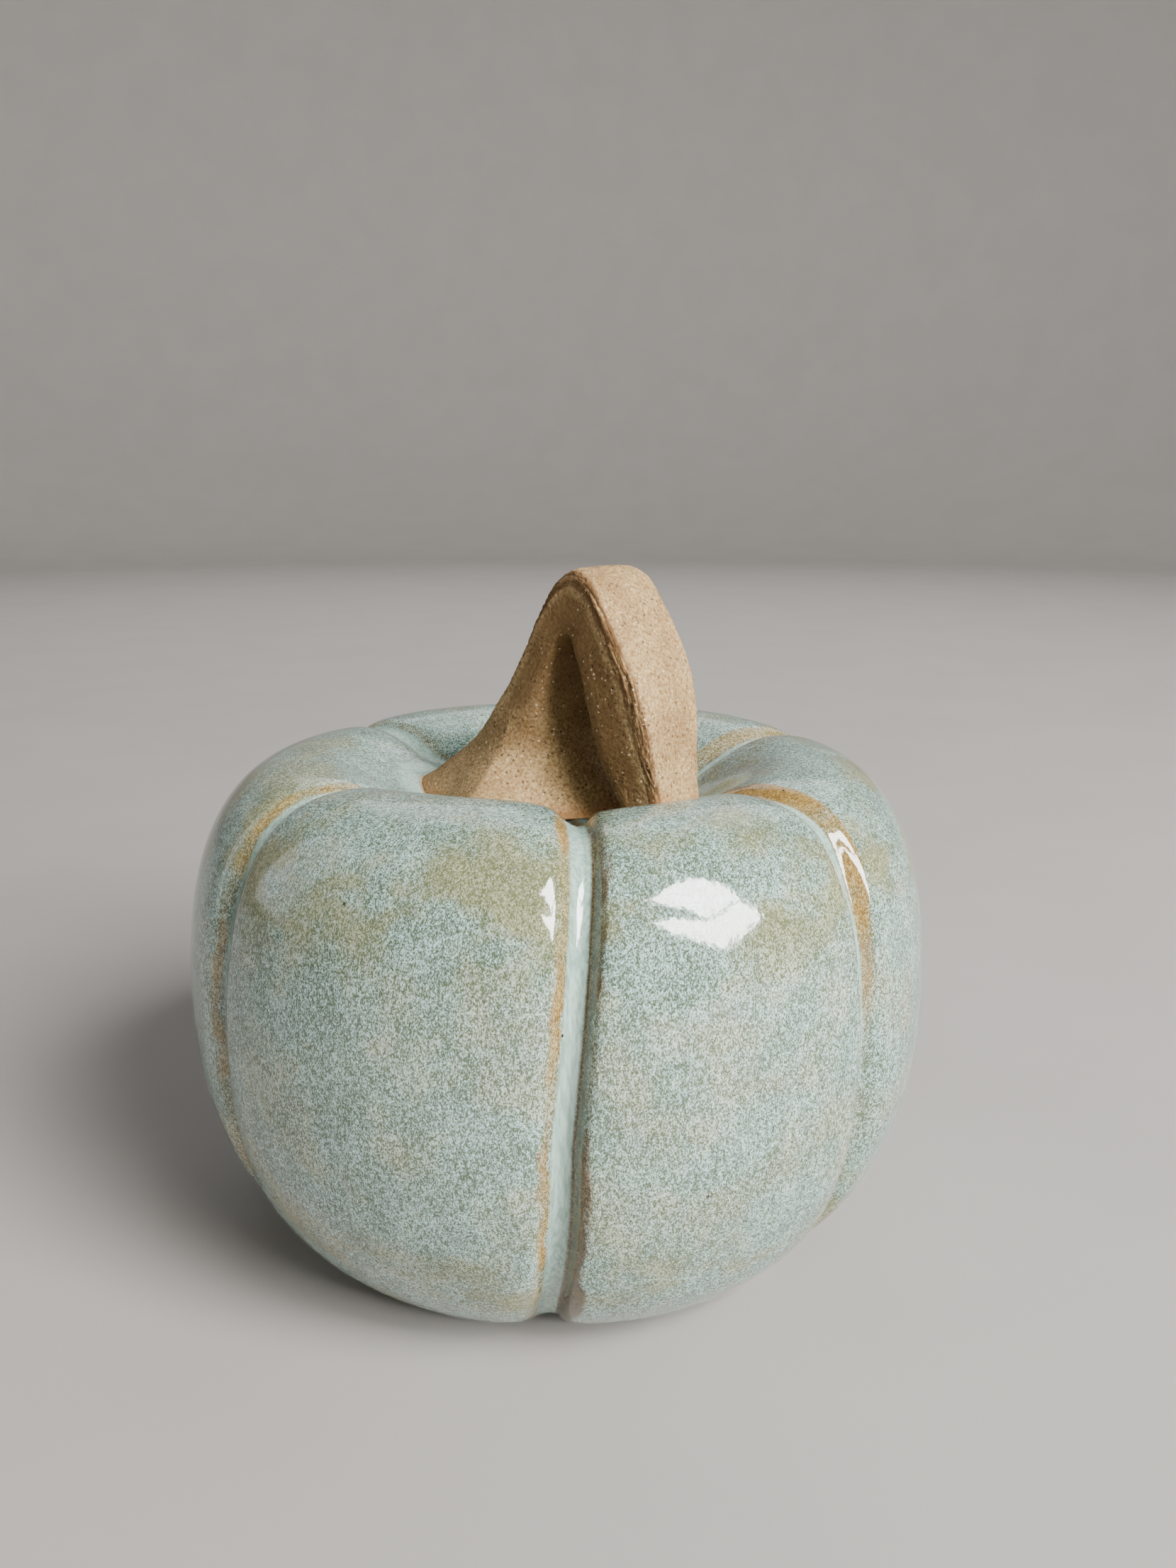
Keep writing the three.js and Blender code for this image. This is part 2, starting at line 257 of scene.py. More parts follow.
def lobe_columns(radius, height):
    """Azimuth, place across the lobe and signed distance from the nearest groove, for every
    column of every ring"""
    grooves = groove_azimuths(height)
    steps = np.arange(LOBE_COLUMNS) / LOBE_COLUMNS * 2 - 1
    spread = (COLUMN_EVENNESS * steps
              + (1 - COLUMN_EVENNESS) * np.sin(np.pi * steps / 2))
    azimuths, places, distances = [], [], []
    for index, start in enumerate(grooves):
        following = grooves[index + 1] if index + 1 < len(grooves) else grooves[0] + 2 * np.pi
        half = ((following - start) / 2)[:, None]
        azimuths.append(start[:, None] + half * (1 + spread[None, :]))
        places.append(np.broadcast_to(spread[None, :], azimuths[-1].shape))
        side = np.where(spread < 0, 1, -1)[None, :]
        distances.append((1 - np.abs(spread))[None, :] * half * radius[:, None] * side)
    return np.hstack(azimuths), np.hstack(places), np.hstack(distances)


def polar(azimuth, radius, height):
    return np.stack([radius * np.sin(azimuth), -radius * np.cos(azimuth), height], -1)


def top_height(points):
    """Height of the glazed top under points given as x and y, grooves included"""
    radius = np.hypot(points[..., 0], points[..., 1])
    azimuth = np.arctan2(points[..., 0], -points[..., 1])
    inward = np.clip((CREST_RADIUS - radius) / (CREST_RADIUS - DIMPLE_RADIUS), 0, 1)
    sink = inward ** 2 * (1 + DIMPLE_SOFTNESS * (1 - inward))
    level = CREST_HEIGHT + (DIMPLE_HEIGHT - CREST_HEIGHT) * sink
    centres = np.array([g["azimuth"] + g["crest"] * (DIMPLE_HEIGHT - BELLY_HEIGHT)
                        / (CREST_HEIGHT - BELLY_HEIGHT) for g in GROOVES])
    turns = np.degrees(azimuth)[..., None] - centres
    away = np.abs((turns + 180) % 360 - 180).min(axis=-1)
    distance = np.radians(away) * radius
    across = 1 - np.minimum(away / 30, 1)
    return level - recess(across, distance, radius, level)


def outline_distance(points, outline):
    """Distance in plan from points to a closed outline, negative inside it"""
    start = outline
    run = np.roll(outline, -1, axis=0) - start
    best = np.full(len(points), 1e9)
    inside = np.zeros(len(points), bool)
    for (x0, y0), (dx, dy) in zip(start, run):
        px, py = points[:, 0] - x0, points[:, 1] - y0
        along = np.clip((px * dx + py * dy) / (dx * dx + dy * dy + 1e-12), 0, 1)
        best = np.minimum(best, np.hypot(px - along * dx, py - along * dy))
        crosses = (py >= 0) != (py - dy >= 0)
        inside ^= crosses & (px < dx * py / (dy if dy else 1e-9))
    return np.where(inside, -best, best)


def make_mesh(name, rings, attributes, material):
    """A mesh through rings of points, closed at both ends, with point attributes"""
    count, columns = rings.shape[:2]
    points = rings.reshape(-1, 3)
    ring = np.arange(count - 1)[:, None] * columns
    column = np.arange(columns)[None, :]
    following = (column + 1) % columns
    quads = np.stack([ring + column, ring + following, ring + columns + following,
                      ring + columns + column], -1).reshape(-1, 4).tolist()
    caps = []
    centres = []
    for base, flip in ((0, True), ((count - 1) * columns, False)):
        centre = len(points) + len(centres)
        centres.append(points[base:base + columns].mean(axis=0))
        for index in range(columns):
            a, b = base + index, base + (index + 1) % columns
            caps.append((b, a, centre) if flip else (a, b, centre))
    points = np.vstack([points, centres])
    mesh = bpy.data.meshes.new(name)
    mesh.from_pydata((points * MM).tolist(), [], quads + caps)
    mesh.shade_smooth()
    for key, values in attributes.items():
        layer = mesh.attributes.new(key, "FLOAT", "POINT")
        flat = np.zeros(len(points))
        flat[:values.size] = values.reshape(-1)
        layer.data.foreach_set("value", flat.astype(np.float32))
    mesh.materials.append(material)
    piece = bpy.data.objects.new(name, mesh)
    bpy.context.scene.collection.objects.link(piece)
    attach(piece, "root")
    return piece


def make_body(material, root_outline, tip_outline):
    stages = np.concatenate([
        np.linspace(0, 1, OUTER_RINGS[0], endpoint=False),
        np.linspace(1, 2, OUTER_RINGS[1], endpoint=False),
        np.linspace(2, 3, OUTER_RINGS[2]),
    ])
    radius, height = envelope(stages)
    azimuth, across, groove = lobe_columns(radius, height)
    out, rise = move_direction(stages)
    lifts = np.repeat([g["lift"] for g in GROOVES], LOBE_COLUMNS)[None, :]
    nearest = np.concatenate([np.where(np.arange(LOBE_COLUMNS) < LOBE_COLUMNS / 2, g, g + 1)
                              for g in range(len(GROOVES))]) % len(GROOVES)
    overhang = np.array(OVERHANG)[nearest][None, :]
    inset = recess(across, groove, radius[:, None], height[:, None], overhang)
    swelling = swell(lifts, across, radius[:, None], height[:, None])
    level = np.broadcast_to(height[:, None], azimuth.shape)
    envelope_points = polar(azimuth, radius[:, None], level)
    broad, narrow = BODY_WAVE_LENGTHS
    wave = random_field(envelope_points, broad, 3) + 0.5 * random_field(envelope_points, narrow, 4)
    quiet = (smooth(stages / QUIET_STAGES) * smooth((3 - stages) / QUIET_STAGES))[:, None]
    inset = inset + BODY_WAVE * (1 + wave / 1.5).clip(0, 2) * quiet * smooth(inset / 2 + 0.2)
    plan = envelope_points[..., :2].reshape(-1, 2)
    near = np.linalg.norm(plan, axis=1) < CREST_RADIUS
    root = np.full(len(plan), float(FAR))
    root[near] = np.minimum(outline_distance(plan[near], root_outline),
                            outline_distance(plan[near], tip_outline))
    root = np.where(level > BELLY_HEIGHT, root.reshape(level.shape), FAR)
    meniscus = MENISCUS_HEIGHT * smooth(1 - np.abs(root) / MENISCUS_REACH) * (root < FAR)
    inset = inset * (1 - POOL_SHARE * smooth(1 - root / POOL_REACH))
    move = meniscus + swelling - inset - SKIN
    outer = polar(azimuth, radius[:, None] + move * out[:, None],
                  height[:, None] + move * rise[:, None])

    # Rings that are plain circles: foot ring, recess, vent and the hollow's wall
    plain = [
        (30, 0), (RECESS_RADIUS + RECESS_DRAFT + 0.4, 0), (RECESS_RADIUS + RECESS_DRAFT, 0.15),
        (RECESS_RADIUS + 0.2, RECESS_DEPTH - 0.35), (RECESS_RADIUS - 0.3, RECESS_DEPTH),
        (18, RECESS_DEPTH), (10, RECESS_DEPTH), (VENT_RADIUS + 0.7, RECESS_DEPTH),
        (VENT_RADIUS + 0.15, RECESS_DEPTH + 0.3), (VENT_RADIUS, RECESS_DEPTH + 1),
        (VENT_RADIUS, FLOOR_HEIGHT - 1), (VENT_RADIUS + 0.2, FLOOR_HEIGHT - 0.2),
        (VENT_RADIUS + 1, FLOOR_HEIGHT),
    ]
    inner_stages = np.linspace(0, 3, INNER_RINGS)
    r, z = envelope(inner_stages)
    normal_r, normal_z = envelope_normal(inner_stages)
    plain += [(a, max(b, FLOOR_HEIGHT)) for a, b in
              zip(r - WALL * normal_r, z - WALL * normal_z)]
    plain.append((4, DIMPLE_HEIGHT - WALL))
    circle = azimuth[0]
    plain_rings = np.stack([polar(circle, a, np.full(circle.shape, float(b))) for a, b in plain])

    # One surface from the hollow's top, down, through the vent and the foot, and up outside
    rings = np.concatenate([plain_rings[::-1], outer])
    zero = np.zeros(plain_rings.shape[:2])
    attributes = {
        "groove": np.concatenate([zero + FAR, groove]),
        "root": np.concatenate([zero + FAR, root]),
        "bare": np.concatenate([zero + 1, np.zeros(outer.shape[:2])]),
    }
    for key, shares in BREAKS_AND_SHADE.items():
        spread = np.broadcast_to(np.array(shares)[nearest], outer.shape[:2])
        attributes[key] = np.concatenate([zero, spread])
    body = make_mesh("glazed_pumpkin", rings, attributes, material)
    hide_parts("glazed_body")
    return body


# Stem

def spline(values, stations):
    """Catmull-Rom curve through one row of values for each station"""
    values = np.asarray(values, float)
    last = len(values) - 1
    index = np.clip(np.floor(stations).astype(int), 0, last - 1)
    t = (stations - index)[..., None]
    p0 = values[np.maximum(index - 1, 0)]
    p1 = values[index]
    p2 = values[index + 1]
    p3 = values[np.minimum(index + 2, last)]
    p0 = np.where((index == 0)[..., None], p1, p0)
    p3 = np.where((index == last - 1)[..., None], p2, p3)
    v0, v1 = (p2 - p0) / 2, (p3 - p1) / 2
    return ((2 * p1 - 2 * p2 + v0 + v1) * t ** 3 + (-3 * p1 + 3 * p2 - 2 * v0 - v1) * t ** 2
            + v0 * t + p1)


STEM_ROWS = [[*outer, *inner, half] for outer, inner, half in STEM]


def stem_point(station, even):
    """Point of the stem's skin and its place in the section, for a station and a plain angle"""
    row = spline(STEM_ROWS, station)
    outer, inner, half = row[..., 0:2], row[..., 2:4], row[..., 4]
    centre = (outer + inner) / 2
    reach = inner - centre
    thickness = np.linalg.norm(reach, axis=-1)
    square = smooth((station - STRAP_START_STATION) / (STRAP_FULL_STATION - STRAP_START_STATION))
    fullness = ROOT_FULLNESS + (STRAP_FULLNESS - ROOT_FULLNESS) * square
    angle = even + CORNER_GATHER * square * np.sin(4 * even) / 4
    along, aside = quarter(angle, fullness)
    rise = station / TOE_FADE_STATION
    ridge = np.radians(TOE_AZIMUTH + TOE_TWIST * np.minimum(rise, 1))
    valley = np.abs(np.sin(TOE_COUNT * (angle - ridge) / 2)) ** TOE_SHARPNESS
    factor = 1 + TOE_DEPTH * (1 - smooth(rise)) * (1 - 2 * valley)
    last = len(STEM) - 1
    turn = math.radians(TIP_TURN) * smooth((station - TIP_TURN_START_STATION)
                                           / (last - TIP_TURN_START_STATION))
    u = along * factor * thickness
    v = aside * factor * half
    inward = (u * np.cos(turn) + v * np.sin(turn)) / thickness
    side = v * np.cos(turn) - u * np.sin(turn)
    point = np.stack([side, -(centre[..., 0] + reach[..., 0] * inward),
                      centre[..., 1] + reach[..., 1] * inward], -1)
    return point, np.stack([u, v], -1), np.stack([along, aside], -1)


def seat_stations(even, low, high, rising):
    """Station at which each column of the stem meets the glazed top"""
    low = np.full(even.shape, float(low))
    high = np.full(even.shape, float(high))
    for _ in range(30):
        middle = (low + high) / 2
        point, _, _ = stem_point(middle, even)
        above = point[..., 2] > top_height(point)
        go_low = above if rising else ~above
        high = np.where(go_low, middle, high)
        low = np.where(go_low, low, middle)
    return (low + high) / 2


def stem_outlines():
    """Where the root and the tip meet the glazed top, as outlines in plan, with the stations"""
    even = 2 * np.pi * np.arange(STEM_COLUMNS) / STEM_COLUMNS
    first = seat_stations(even, 0, 3, True)
    last = seat_stations(even, len(STEM) - 3, len(STEM) - 1, False)
    root, _, _ = stem_point(first, even)
    tip, _, _ = stem_point(last, even)
    return even, first, last, root[:, :2], tip[:, :2]


def make_stem(material, even, first, last):
    run = np.linspace(0, 1, STEM_RINGS)[:, None]
    stations = first[None, :] * (1 - run) + last[None, :] * run
    angles = np.broadcast_to(even[None, :], stations.shape)
    points, section, place = stem_point(stations, angles)

    # Outward normals from the neighbours on the grid
    round_ = np.roll(points, -1, 1) - np.roll(points, 1, 1)
    along = np.gradient(points, axis=0)
    normal = np.cross(round_, along)
    normal /= np.linalg.norm(normal, axis=-1, keepdims=True) + 1e-9

    # Place in the strap: length along it, and the two directions of its section
    centre = points.mean(axis=1)
    length = np.concatenate([[0], np.cumsum(np.linalg.norm(np.diff(centre, axis=0), axis=1))])
    strap = np.concatenate([np.broadcast_to(length[:, None, None], points.shape[:2] + (1,)),
                            section], -1)
    coarse, fine = FIBRE_LENGTHS
    fibres = (random_field(strap * [0.12, 1, 1], coarse, 21)
              + 0.8 * random_field(strap * [0.16, 1, 1], fine, 22, 60))
    on_along, on_aside = np.abs(place[..., 0]), np.abs(place[..., 1])
    edge = smooth((on_along * on_aside - 0.35) / 0.3) * smooth(0.6 + (on_aside - on_along) / 0.25)
    left_front = smooth((-section[..., 0] - 0.5) / 2) * smooth((-section[..., 1] - 0.5) / 2)
    share = 0.2 + 0.8 * left_front
    torn = edge * share * smooth((stations - TORN_START_STATION) / 3)
    torn *= 0.5 + 0.5 * smooth(0.5 + random_field(strap, 9, 23))
    broad, narrow = STEM_WAVE_LENGTHS
    wave = random_field(points, broad, 24) + 0.5 * random_field(points, narrow, 25)
    coarse, fine = GRAIN_LENGTHS
    grain = random_field(points, coarse, 26, 60) + 0.8 * random_field(points, fine, 27, 60)
    seat = smooth(np.minimum(run, 1 - run) * 25)
    move = (STEM_WAVE * (wave - 1.2) * 0.5 + GRAIN_RELIEF * (grain - 1)) * seat
    move += FIBRE_RELIEF * torn * (np.abs(fibres) - 0.9) * seat
    points = points + normal * move[..., None]

    attributes = {
        "edge": edge * share * smooth((stations - (TORN_START_STATION - 1)) / 3),
        "torn": torn * np.clip(0.5 + fibres / 2, 0, 1),
        # Painted shade on the stem's inner and side faces
        "shaded_sides": smooth((section[..., 0] + 2.2) / 1.6) * smooth((stations - 3) / 4),
        "over": points[..., 2] - top_height(points),
        "strap_length": strap[..., 0],
        "strap_u": strap[..., 1],
        "strap_v": strap[..., 2],
    }
    stem = make_mesh("clay_stem", points, attributes, material)
    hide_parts("stem")
    return stem


# Materials

class Nodes:
    """Short calls for building a material's node tree"""

    def __init__(self, name):
        self.material = bpy.data.materials.new(name)
        self.material.use_nodes = True
        self.tree = self.material.node_tree
        self.shader = self.tree.nodes["Principled BSDF"]
        position = self.tree.nodes.new("ShaderNodeTexCoord")
        self.position = position.outputs["Object"]

    def link(self, source, socket):
        if isinstance(source, (int, float)):
            socket.default_value = source
        elif isinstance(source, (tuple, list)):
            socket.default_value = (*source, 1)
        else:
            self.tree.links.new(source, socket)

    def attribute(self, name):
        node = self.tree.nodes.new("ShaderNodeAttribute")
        node.attribute_name = name
        return node.outputs["Fac"]

    def math(self, operation, first, second=0.0, clamp=False):
        node = self.tree.nodes.new("ShaderNodeMath")
        node.operation = operation
        node.use_clamp = clamp
        self.link(first, node.inputs[0])
        self.link(second, node.inputs[1])
        return node.outputs[0]

    def ramp(self, value, low, high, start=0.0, end=1.0):
        node = self.tree.nodes.new("ShaderNodeMapRange")
        node.interpolation_type = "SMOOTHSTEP"
        self.link(value, node.inputs["Value"])
        self.link(low, node.inputs["From Min"])
        self.link(high, node.inputs["From Max"])
        self.link(start, node.inputs["To Min"])
        self.link(end, node.inputs["To Max"])
        return node.outputs["Result"]

    def stretched(self, scale):
        node = self.tree.nodes.new("ShaderNodeMapping")
        node.inputs["Scale"].default_value = scale
        self.link(self.position, node.inputs["Vector"])
        return node.outputs["Vector"]

    def noise(self, size_mm, vector=None, detail=2.0, rough=0.5):
        node = self.tree.nodes.new("ShaderNodeTexNoise")
        node.inputs["Scale"].default_value = 1 / (size_mm * MM)
        node.inputs["Detail"].default_value = detail
        node.inputs["Roughness"].default_value = rough
        self.link(vector or self.position, node.inputs["Vector"])
        return node.outputs["Fac"]

    def specks(self, size_mm, vector=None):
        """Distance to the nearest of scattered points, and a random value for each"""
        node = self.tree.nodes.new("ShaderNodeTexVoronoi")
        node.inputs["Scale"].default_value = 1 / (size_mm * MM)
        self.link(vector or self.position, node.inputs["Vector"])
        split = self.tree.nodes.new("ShaderNodeSeparateColor")
        self.link(node.outputs["Color"], split.inputs[0])
        return node.outputs["Distance"], split.outputs[0]

    def mix(self, share, first, second):
        node = self.tree.nodes.new("ShaderNodeMix")
        node.data_type = "RGBA"
        self.link(share, node.inputs["Factor"])
        self.link(first, node.inputs["A"])
        self.link(second, node.inputs["B"])
        return node.outputs["Result"]

    def relief(self, height, depth_mm, strength=1.0, normal=None):
        node = self.tree.nodes.new("ShaderNodeBump")
        node.inputs["Strength"].default_value = strength
        node.inputs["Distance"].default_value = depth_mm * MM
        self.link(height, node.inputs["Height"])
        if normal:
            self.link(normal, node.inputs["Normal"])
        return node.outputs["Normal"]


def srgb(red, green, blue):
    """A colour given as 0 to 255 display values, as the linear values that a shader takes"""
    values = np.array([red, green, blue]) / 255
    linear = np.where(values <= 0.04045, values / 12.92, ((values + 0.055) / 1.055) ** 2.4)
    return tuple(float(v) for v in linear)


GLAZE_GREY = srgb(82, 97, 76)
GLAZE_OLIVE = srgb(88, 98, 70)
GLAZE_BLUE = srgb(188, 222, 219)
GLAZE_CREAM = srgb(202, 211, 192)
GLAZE_MOSS = srgb(104, 108, 72)
GLAZE_SAND = srgb(166, 164, 124)
BREAK_BROWN = srgb(116, 88, 44)
BREAK_TAN = srgb(184, 154, 92)
DARK_BREAK_SHADE_AND_SPOT = srgb(62, 48, 28)
LIP_AND_PAINTED_LIGHT_TAN = srgb(178, 150, 118)
POOL_DEEP = srgb(134, 164, 152)
POOL_PALE = srgb(180, 206, 196)
RIM_GREY = srgb(132, 148, 134)
IRON = srgb(44, 36, 26)
AMBER = srgb(150, 106, 52)
FOOT_SHADE = srgb(146, 108, 72)
FOOT_SAND = srgb(190, 156, 116)


def glaze_material():
    n = Nodes("celadon_glaze")
    side = n.attribute("groove")
    groove = n.math("ABSOLUTE", side)
    root = n.attribute("root")
    bare = n.attribute("bare")
    split = n.tree.nodes.new("ShaderNodeSeparateXYZ")
    n.link(n.position, split.inputs[0])
    height = n.math("MULTIPLY", split.outputs["Z"], 1 / MM)

    # Fine opalescent mottle, drawn out a little along the way the glaze flowed
    flow = n.stretched((1, 1, 0.66))
    fine = n.math("ADD", n.math("MULTIPLY", n.noise(0.21, flow, detail=2, rough=0.8), 0.65),
                  n.math("MULTIPLY", n.noise(0.55, flow, detail=4, rough=0.7), 0.35))
    cloud = n.noise(4.5, n.stretched((1, 1, 0.7)), detail=4, rough=0.6)
    patch = n.noise(15, n.stretched((1, 1, 1.5)), detail=3, rough=0.55)
    shift = n.math("MULTIPLY", n.math("SUBTRACT", cloud, 0.5), 0.12)
    veil_share = n.ramp(n.math("ADD", fine, shift), 0.41, 0.61)
    mottle = n.math("POWER", veil_share, 1.4)
    tint = n.ramp(n.math("ADD", n.math("MULTIPLY", patch, 0.6), n.math("MULTIPLY", cloud, 0.4)),
                  0.42, 0.66)
    ground = n.mix(tint, GLAZE_GREY, GLAZE_OLIVE)
    veil = n.mix(tint, GLAZE_BLUE, GLAZE_CREAM)
    colour = n.mix(mottle, ground, veil)

    # Warmer, more olive glaze on the shoulders and low down
    shoulder = n.math("MULTIPLY", n.ramp(height, 58, 68), n.ramp(height, 82, 75))
    low = n.math("MULTIPLY", n.ramp(height, 32, 12), n.ramp(height, 2, 6))
    warm = n.math("MULTIPLY", n.math("MAXIMUM", shoulder, low),
                  n.ramp(n.math("ADD", patch, n.math("MULTIPLY", shift, 0.8)), 0.44, 0.6))
    colour = n.mix(n.math("MULTIPLY", warm, 0.75), colour, n.mix(mottle, GLAZE_MOSS, GLAZE_SAND))

    # Thin glaze breaks to tan on the left edge of a groove, and to brown with painted shade on the
    # right
    waver = n.math("MULTIPLY", n.math("SUBTRACT", n.noise(5, detail=3), 0.5), 2.4)
    place = n.math("ADD", n.math("MULTIPLY", side, -1), waver)
    band = n.math("MULTIPLY", n.ramp(place, 1.7, 2.1), n.ramp(place, 3.7, 2.9))
    worn = n.ramp(n.noise(11, n.stretched((1, 1, 0.45)), detail=4, rough=0.6), 0.38, 0.58)
    band = n.math("MULTIPLY", band, n.math("ADD", n.math("MULTIPLY", worn, 0.65), 0.3))
    band = n.math("MULTIPLY", band, n.attribute("tan"))
    colour = n.mix(band, colour, n.mix(veil_share, BREAK_BROWN, BREAK_TAN))
    # Painted shade: the dark band on a groove's right wall stands for the shade there, over a
    # brown glaze break
    place = n.math("ADD", side, n.math("MULTIPLY", waver, 0.4))
    reach = n.ramp(n.noise(7, n.stretched((1, 1, 0.4)), detail=3), 0.35, 0.65, 2.6, 4.6)
    fade = n.ramp(place, reach, n.math("SUBTRACT", reach, 1))
    band = n.math("MULTIPLY", n.ramp(place, 0.6, 1.1), fade)
    band = n.math("MULTIPLY", band, n.ramp(height, 80, 72))
    band = n.math("MULTIPLY", band, n.attribute("brown"))
    colour = n.mix(n.math("MULTIPLY", band, 0.9), colour, n.mix(mottle, DARK_BREAK_SHADE_AND_SPOT, BREAK_BROWN))

    # One groove breaks to gold instead, broadly at the top and thinly further down
    reach = n.ramp(height, 52, 76, 2.5, 4.4)
    fade = n.ramp(place, reach, n.math("SUBTRACT", reach, 0.7))
    band = n.math("MULTIPLY", n.ramp(place, 0.7, 1.2), fade)
    band = n.math("MULTIPLY", band, n.ramp(height, 36, 62, 0.1, 1.0))
    band = n.math("MULTIPLY", band, n.math("ADD", n.math("MULTIPLY", worn, 0.5), 0.5))
    band = n.math("MULTIPLY", band, n.attribute("gold"))
    colour = n.mix(band, colour, n.mix(veil_share, BREAK_BROWN, BREAK_TAN))

    # Thick glaze pools pale and aqua in the channels and round the stem
    streak = n.noise(0.5, n.stretched((1, 1, 0.16)), detail=3, rough=0.6)
    aqua = n.mix(n.ramp(streak, 0.3, 0.7), POOL_DEEP, POOL_PALE)
    channel = n.math("MULTIPLY", n.ramp(side, 1.15, 0.6), n.ramp(side, -2.1, -1.5))
    channel = n.math("MULTIPLY", channel, n.ramp(root, 1, 4))
    ragged = n.math("ADD", root, n.math("MULTIPLY", n.math("SUBTRACT", cloud, 0.5), 3))
    pool = n.math("MULTIPLY", n.ramp(ragged, 4.4, 2.4), n.ramp(root, 0.1, 0.6))
    colour = n.mix(n.math("MAXIMUM", channel, pool), colour, aqua)
    # Tan where the glaze meets the clay; in the grooves it reaches further as painted light over
    # the stem's shadow
    lip_and_painted_light = n.ramp(root, n.ramp(groove, 2, 4, 3.2, 0.6), 0.0)
    colour = n.mix(n.math("MULTIPLY", lip_and_painted_light, 0.85), colour, LIP_AND_PAINTED_LIGHT_TAN)

    # Smoother, greyer glaze where it ran to the foot
    rim = n.math("MULTIPLY", n.ramp(height, 5, 1.5), 0.6)
    colour = n.mix(rim, colour, RIM_GREY)

    # Sparse iron specks, and a few larger brown spots with an amber halo
    distance, chance = n.specks(6.5)
    speck = n.math("MULTIPLY", n.ramp(distance, 0.05, 0.03), n.ramp(chance, 0.7, 0.71))
    colour = n.mix(speck, colour, IRON)
    distance, chance = n.specks(15)
    rare = n.ramp(chance, 0.58, 0.6)
    halo = n.math("MULTIPLY", n.ramp(distance, 0.055, 0.015), rare)
    colour = n.mix(n.math("MULTIPLY", halo, 0.85), colour, AMBER)
    heart = n.math("MULTIPLY", n.ramp(distance, 0.028, 0.014), rare)
    colour = n.mix(heart, colour, DARK_BREAK_SHADE_AND_SPOT)

    # Bare clay on the foot ring, in the recess and inside
    grit = n.noise(0.7, detail=3, rough=0.7)
    clay = n.mix(n.ramp(grit, 0.35, 0.65), FOOT_SHADE, FOOT_SAND)
    colour = n.mix(bare, colour, clay)

    n.link(colour, n.shader.inputs["Base Color"])
    n.link(n.mix(bare, (0.07, 0.07, 0.07), (0.85, 0.85, 0.85)), n.shader.inputs["Roughness"])
    n.link(n.ramp(bare, 0, 1, 0.95, 0.3), n.shader.inputs["Specular IOR Level"])
    ripple = n.noise(5, detail=3, rough=0.45)
    surface = n.relief(ripple, 0.2, 0.5)
    surface = n.relief(n.noise(0.6, flow, detail=2), 0.016, 0.7, surface)
    n.link(surface, n.shader.inputs["Normal"])
    return n.material


CLAY_SHADE = srgb(140, 108, 66)
CLAY_SAND = srgb(200, 170, 124)
CLAY_BROWN = srgb(112, 80, 44)
CLAY_DARK = srgb(92, 62, 32)
CLAY_FLASH = srgb(166, 104, 52)
GROG_DARK = srgb(84, 58, 36)
GROG_PALE = srgb(228, 206, 168)


def clay_material():
    n = Nodes("bare_stoneware")
    edge = n.attribute("edge")
    torn = n.attribute("torn")
    over = n.attribute("over")
    strap = n.tree.nodes.new("ShaderNodeCombineXYZ")
    n.link(n.math("MULTIPLY", n.attribute("strap_length"), 0.14 * MM), strap.inputs[0])
    n.link(n.math("MULTIPLY", n.attribute("strap_u"), MM), strap.inputs[1])
    n.link(n.math("MULTIPLY", n.attribute("strap_v"), MM), strap.inputs[2])
    fibre = n.noise(0.6, strap.outputs[0], detail=3, rough=0.65)

    # Sandy body with soft variation
    sand = n.noise(0.5, detail=3, rough=0.7)
    patch = n.noise(7, detail=3)
    colour = n.mix(n.ramp(sand, 0.32, 0.68), CLAY_SHADE, CLAY_SAND)
    colour = n.mix(n.math("MULTIPLY", n.ramp(patch, 0.4, 0.68), 0.4), colour, CLAY_BROWN)

    # Painted shade: the inner and side faces are darker than the outer face
    colour = n.mix(n.math("MULTIPLY", n.attribute("shaded_sides"), 0.7), colour, CLAY_BROWN)

    # Browner, dragged clay along the long edges
    drag = n.math("MULTIPLY", n.math("MULTIPLY", edge, 1.6), n.ramp(fibre, 0.36, 0.56), clamp=True)
    colour = n.mix(n.math("MULTIPLY", drag, 0.85), colour, CLAY_DARK)
    colour = n.mix(n.math("MULTIPLY", torn, 0.5), colour, CLAY_BROWN)

    # Orange flashing close to the glaze
    uneven = n.ramp(n.noise(5, detail=2), 0.3, 0.6, 0.3, 1)
    flash = n.math("MULTIPLY", n.ramp(over, 3.5, 0.2), uneven)
    colour = n.mix(n.math("MULTIPLY", flash, 0.5), colour, CLAY_FLASH)

    # Dark and pale grog
    ragged = n.math("MULTIPLY", n.math("SUBTRACT", n.noise(0.22, detail=2), 0.5), 0.5)
    distance, chance = n.specks(0.7)
    distance = n.math("ADD", distance, ragged)
    dark = n.math("MULTIPLY", n.ramp(distance, 0.36, 0.2), n.ramp(chance, 0.74, 0.78))
    colour = n.mix(n.math("MULTIPLY", dark, 0.75), colour, GROG_DARK)
    distance, chance = n.specks(0.8, n.stretched((1.03, 0.97, 1.01)))
    distance = n.math("ADD", distance, ragged)
    pale = n.math("MULTIPLY", n.ramp(distance, 0.28, 0.14), n.ramp(chance, 0.72, 0.86))
    colour = n.mix(n.math("MULTIPLY", pale, 0.85), colour, GROG_PALE)

    n.link(colour, n.shader.inputs["Base Color"])
    n.shader.inputs["Roughness"].default_value = 0.86
    n.shader.inputs["Specular IOR Level"].default_value = 0.35
    grain = n.noise(0.42, detail=3, rough=0.7)
    surface = n.relief(grain, 0.2, 1.0)
    surface = n.relief(n.math("MULTIPLY", fibre, edge), 0.5, 0.8, surface)
    surface = n.relief(dark, -0.12, 0.8, surface)
    n.link(surface, n.shader.inputs["Normal"])
    return n.material


